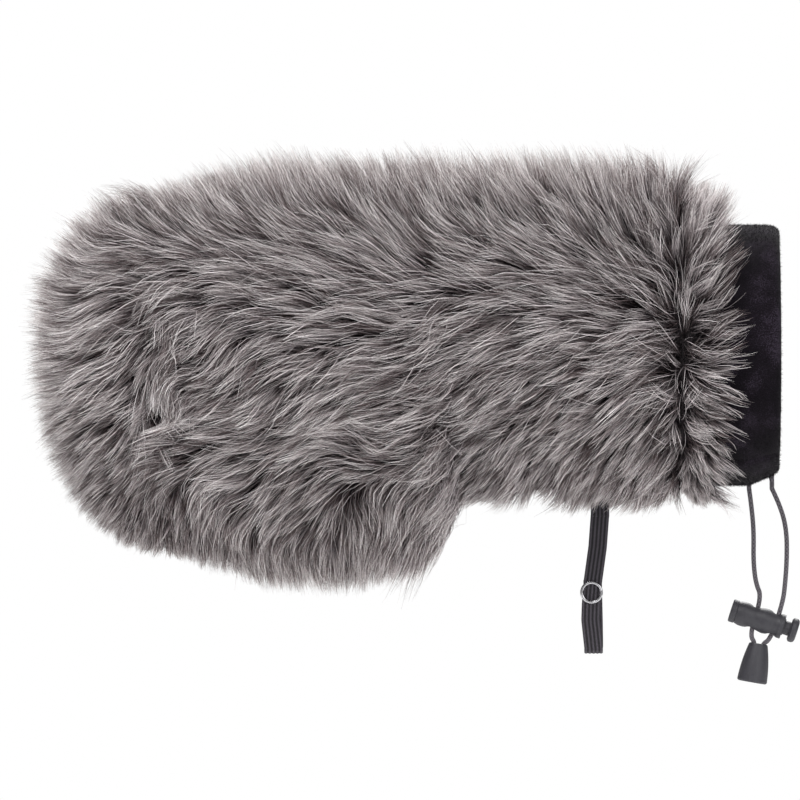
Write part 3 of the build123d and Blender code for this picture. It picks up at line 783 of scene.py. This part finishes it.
# %% Velour finish and the collar's piece
velour_grain = 0.45 * mm
brushed_patch = 14 * mm
polyester_velour, tree, shader = new_finish(
    "polyester_velour",
    {"Roughness": 0.95, "Specular IOR Level": 0.08, "Sheen Weight": 0.04, "Sheen Roughness": 0.6},
)
grain = noise(tree, velour_grain, 3.0)
brushed = noise(tree, brushed_patch, 2.0)
both = add_node(
    tree, "ShaderNodeMath", {"operation": "MULTIPLY"}, {0: grain.outputs["Fac"], 1: brushed.outputs["Fac"]}
)
tree.links.new(
    colour_bands(tree, both.outputs[0], [(0.10, "#040205"), (0.28, "#0e0910"), (0.44, "#332c37")]),
    shader.inputs["Base Color"],
)
bump = add_node(tree, "ShaderNodeBump", {"Distance": 0.25 * mm}, {"Height": grain.outputs["Fac"]})
tree.links.new(bump.outputs["Normal"], shader.inputs["Normal"])

collar = new_mesh_piece("velour_collar", collar_points, collar_faces, polyester_velour)
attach(collar, "cover")
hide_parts("collar_shell", "collar_lap")
print("collar faces", len(collar_faces), "mouth at", round(mouth_x, 1), "mm")

# %% [markdown]
# A few thousand single tufts stand off the velour. They break up its outline against the light, the
# way real pile does along the hem, and everywhere else they vanish into the black.

# %% Tufts on the velour
tufts_per_square_mm = 2.4
tuft_length = 1.0
tuft_width = 0.16
tuft_stray = 0.55
brushed_towards = np.array([0.25, 0, -0.35])
rolled_edge_x = 6.0 * mm


def tufts_on(piece, name):
    """A mesh of small pointed tufts on the outside and the rolled edge of a piece."""
    triangles, areas, normals, middles = mesh_faces(piece.data)
    radial = middles * np.array([0, 1, 1])
    radial /= np.linalg.norm(radial, axis=1, keepdims=True)
    shown = ((normals * radial).sum(axis=1) > 0.2) | (middles[:, 0] > rolled_edge_x)
    roots, root_normals = scatter(triangles[shown], areas[shown], normals[shown], tufts_per_square_mm)
    count = len(roots)
    lean = root_normals + random.normal(0, tuft_stray, (count, 3)) + brushed_towards
    lean /= np.linalg.norm(lean, axis=1, keepdims=True)
    sides = np.cross(lean, random.normal(0, 1, (count, 3)))
    sides *= tuft_width * mm / 2 / np.linalg.norm(sides, axis=1, keepdims=True)
    tips = roots + lean * (tuft_length * mm * (0.6 + 0.6 * random.random((count, 1))))
    points = np.stack([roots - sides, roots + sides, tips], axis=1).reshape(-1, 3)
    faces = [(3 * index, 3 * index + 1, 3 * index + 2) for index in range(count)]
    tufts = new_mesh_piece(name, points, faces, polyester_velour)
    print(name, count)
    return tufts


velour_tufts = tufts_on(collar, "velour_tufts")
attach(velour_tufts, "cover")

# %% [markdown]
# ## Strap of ribbed elastic
# Flat elastic is woven with rubber threads running along it, and between them the weave stands up in
# ribs. The strap hangs from the belly seam, turns round at the bottom and comes up behind itself,
# where the ring snap holds it. It is one ribbon, folded round at the turn.

# %% Ribbed elastic
elastic_thickness = 1.2
elastic_width = 8.0
elastic_ribs = 5
rib_height = 0.22
across_points = 36
thread_spacing = 0.55
edge_squareness = 9

ribbed_elastic, tree, shader = new_finish(
    "ribbed_polyester_elastic", {"Roughness": 0.8, "Specular IOR Level": 0.3, "Sheen Weight": 0.15}
)
weave_map = add_node(tree, "ShaderNodeUVMap", {"uv_map": "weave"}, {})
weave_place = add_node(tree, "ShaderNodeSeparateXYZ", {}, {"Vector": weave_map.outputs["UV"]})
picks = add_node(
    tree, "ShaderNodeMath",
    {"operation": "MULTIPLY", 1: math.tau / thread_spacing}, {0: weave_place.outputs["Y"]},
)
pick_wave = add_node(tree, "ShaderNodeMath", {"operation": "SINE"}, {0: picks.outputs[0]})
pick_height = add_node(tree, "ShaderNodeMapRange", {"From Min": -1.0}, {"Value": pick_wave.outputs[0]})
rib_wave = add_node(
    tree, "ShaderNodeMath",
    {"operation": "MULTIPLY", 1: math.tau * elastic_ribs}, {0: weave_place.outputs["X"]},
)
rib_cosine = add_node(tree, "ShaderNodeMath", {"operation": "COSINE"}, {0: rib_wave.outputs[0]})
rib_shade = add_node(
    tree, "ShaderNodeMapRange", {"From Min": 1.0, "From Max": -1.0}, {"Value": rib_cosine.outputs[0]}
)
# The grooves between ribs and between picks are painted darker than the crowns: painted shade.
woven = add_node(
    tree, "ShaderNodeMath", {"operation": "MULTIPLY_ADD", 1: 0.3}, {0: pick_height.outputs[0]}
)
tree.links.new(rib_shade.outputs[0], woven.inputs[2])
tree.links.new(
    colour_bands(tree, woven.outputs[0], [(0.0, "#0e0c0f"), (0.6, "#29262b"), (1.0, "#464249")]),
    shader.inputs["Base Color"],
)
bump = add_node(tree, "ShaderNodeBump", {"Distance": 0.12 * mm}, {"Height": pick_height.outputs[0]})
tree.links.new(bump.outputs["Normal"], shader.inputs["Normal"])


def share_across(step):
    """Where a point of the ribbon's outline lies across it: along the front face, then the back."""
    if step < across_points:
        return (step + 0.5) / across_points
    return (2 * across_points - step - 0.5) / across_points


def elastic_ribbon(name, centres):
    """A flat ribbed ribbon along centres in mm. Its width lies along the cover."""
    line = [Vector(centre) for centre in centres]
    points, faces, weave_places = [], [], []
    travelled = [0.0]
    for before, after in zip(line, line[1:]):
        travelled.append(travelled[-1] + (after - before).length)
    around = 2 * across_points
    for index, centre in enumerate(line):
        ahead = (line[min(index + 1, len(line) - 1)] - line[max(index - 1, 0)]).normalized()
        sideways = (Vector((1, 0, 0)) - ahead * ahead.x).normalized()
        face_normal = ahead.cross(sideways)
        for step in range(around):
            share = share_across(step)
            edge = math.sqrt(max(0.0, 1 - abs(2 * share - 1) ** edge_squareness))
            rib = rib_height * (0.5 - 0.5 * math.cos(math.tau * elastic_ribs * share))
            half = (elastic_thickness / 2 - rib_height + rib) * edge
            half = half if step < across_points else -half
            points.append((centre + sideways * elastic_width * (share - 0.5) + face_normal * half) * mm)
    for ring in range(len(line) - 1):
        for step in range(around):
            following = (step + 1) % around
            low, high = ring * around, (ring + 1) * around
            faces.append((low + step, low + following, high + following, high + step))
            shares = [share_across(step), share_across(following)]
            weave_places += [(shares[0], travelled[ring]), (shares[1], travelled[ring])]
            weave_places += [(shares[1], travelled[ring + 1]), (shares[0], travelled[ring + 1])]
    faces.append(tuple(range(around))[::-1])
    faces.append(tuple((len(line) - 1) * around + step for step in range(around)))
    weave_places += [(0.0, 0.0)] * (2 * around)
    ribbon = new_mesh_piece(name, points, faces, ribbed_elastic)
    layer = ribbon.data.uv_layers.new(name="weave")
    layer.data.foreach_set("uv", [value for pair in weave_places for value in pair])
    return ribbon


# %% Strap shape
strap_low, strap_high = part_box("strap_band")
fold_radius = 1.7
strap_top = strap_high[2] / mm
fold_height = strap_low[2] / mm + fold_radius + elastic_thickness / 2
flap_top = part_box("strap_flap")[1][2] / mm
lean_heights = [-125.0, -111.3, -105.0, -94.9, -80.6, -67.0]
lean_places = [-69.3, -70.8, -70.6, -69.8, -67.8, -66.8]
flap_heights = [-125.0, -111.0, -94.0]
flap_places = [-69.3, -69.5, -69.9]
band_steps, fold_steps, flap_steps = 46, 14, 26

strap_line = []
for step in range(band_steps):
    height = strap_top + step * (fold_height - strap_top) / band_steps
    behind = -fold_radius * soft_step((strap_top - 8 - height) / 17)
    strap_line.append((float(np.interp(height, lean_heights, lean_places)), behind, height))
for step in range(fold_steps + 1):
    turn = math.pi * step / fold_steps
    strap_line.append((
        float(np.interp(fold_height, lean_heights, lean_places)),
        -fold_radius * math.cos(turn),
        fold_height - fold_radius * math.sin(turn),
    ))
for step in range(1, flap_steps + 1):
    height = fold_height + step * (flap_top - fold_height) / flap_steps
    strap_line.append((float(np.interp(height, flap_heights, flap_places)), fold_radius, height))

strap = elastic_ribbon("elastic_strap", strap_line)
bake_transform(strap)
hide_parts("strap_band", "strap_flap")
root_low, root_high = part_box("strap_root")
root_steps = 12
root_reach = 1.4
root_span = (root_low[2] - root_high[2]) / mm - root_reach
root_line = [
    (lean_places[-1], 0.0, root_high[2] / mm + step * root_span / root_steps)
    for step in range(root_steps + 1)
]
strap_root = elastic_ribbon("elastic_strap_root", root_line)
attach(strap_root, "cover")
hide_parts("strap_root")
print("strap from", round(strap_top, 1), "to", round(fold_height - fold_radius, 1), "mm")
print("flap to", round(flap_top, 1), "mm")

# %% [markdown]
# ## Cord lock, bell and snap
# The lock and the bell are moulded in black acetal, with the fine dull texture that a spark-eroded
# mould leaves. Handling polishes it a little, so the roughness drifts. The snap is brass with a nickel
# plate, stamped and bright. The spring in the lock is drawn stainless wire.

# %% Moulded acetal, nickel and spring wire
moulded_acetal, tree, shader = new_finish("moulded_acetal", {"IOR": 1.48, "Specular IOR Level": 0.5})
mould_texture = 0.35 * mm
handled_patch = 5 * mm
texture = noise(tree, mould_texture, 4.0)
handled = noise(tree, handled_patch, 2.0)
dullness = add_node(
    tree, "ShaderNodeMapRange", {"To Min": 0.42, "To Max": 0.62}, {"Value": handled.outputs["Fac"]}
)
bump = add_node(
    tree, "ShaderNodeBump", {"Strength": 0.5, "Distance": 0.06 * mm}, {"Height": texture.outputs["Fac"]}
)
tree.links.new(
    colour_bands(tree, texture.outputs["Fac"], [(0.3, "#242328"), (0.7, "#36353b")]),
    shader.inputs["Base Color"],
)
tree.links.new(dullness.outputs[0], shader.inputs["Roughness"])
tree.links.new(bump.outputs["Normal"], shader.inputs["Normal"])
dress(["lock_barrel", "lock_plunger", "bell_shell", "bell_insert"], moulded_acetal)


def bright_metal(name, hex_value, smooth, rough, streak):
    """A metal whose polish drifts between smooth and rough over streaks of the given size."""
    metal, tree, shader = new_finish(name, {"Metallic": 1.0, "Base Color": colour(hex_value)})
    wear = noise(tree, streak, 3.0)
    polish = add_node(
        tree, "ShaderNodeMapRange", {"To Min": smooth, "To Max": rough}, {"Value": wear.outputs["Fac"]}
    )
    tree.links.new(polish.outputs[0], shader.inputs["Roughness"])
    return metal


nickel_plate = bright_metal("nickel_plated_brass", "#b4b3b6", 0.12, 0.30, 0.8 * mm)
spring_wire = bright_metal("drawn_spring_steel", "#8e8f92", 0.2, 0.4, 0.3 * mm)
dress(["snap_ring_front", "snap_ring_back", "snap_socket", "snap_stud"], nickel_plate)
dress(["lock_spring"], spring_wire)

# %% Floor, light and surroundings
pale_floor, tree, shader = new_finish("painted_board", {"Roughness": 0.9, "Base Color": colour("#f4f4f4")})
floor_radius = 0.6
floor_height = -210 * mm
bpy.ops.mesh.primitive_circle_add(
    vertices=96, radius=floor_radius, fill_type="NGON", location=(view_centre.x, 0, floor_height)
)
floor = bpy.context.object
floor.name = "floor"
floor.data.materials.append(pale_floor)

surroundings = bpy.data.worlds.new("white_studio")
bpy.context.scene.world = surroundings
surroundings.use_nodes = True
backdrop = surroundings.node_tree.nodes["Background"]
backdrop.inputs["Color"].default_value = (1, 1, 1, 1)
room_light = 0.43
seen_directly = add_node(surroundings.node_tree, "ShaderNodeLightPath", {}, {})
strength = add_node(
    surroundings.node_tree, "ShaderNodeMapRange", {"To Min": room_light, "To Max": 1.0},
    {"Value": seen_directly.outputs["Is Camera Ray"]},
)
surroundings.node_tree.links.new(strength.outputs[0], backdrop.inputs["Strength"])
bpy.context.scene.view_settings.view_transform = "Standard"


def softbox(name, place, size, watts):
    """A square area light that faces the middle of the cover."""
    data = bpy.data.lights.new(name, "AREA")
    data.size = size
    data.energy = watts
    light = bpy.data.objects.new(name, data)
    light.location = place
    light.rotation_euler = (view_centre - light.location).to_track_quat("-Z", "Y").to_euler()
    bpy.context.scene.collection.objects.link(light)


softbox("key_softbox", Vector((-0.5, -1.1, 1.5)), 0.8, 38)
softbox("fill_softbox", Vector((0.9, -1.3, 0.5)), 0.8, 9)
softbox("back_softbox", Vector((0.2, 1.4, 1.1)), 0.9, 30)
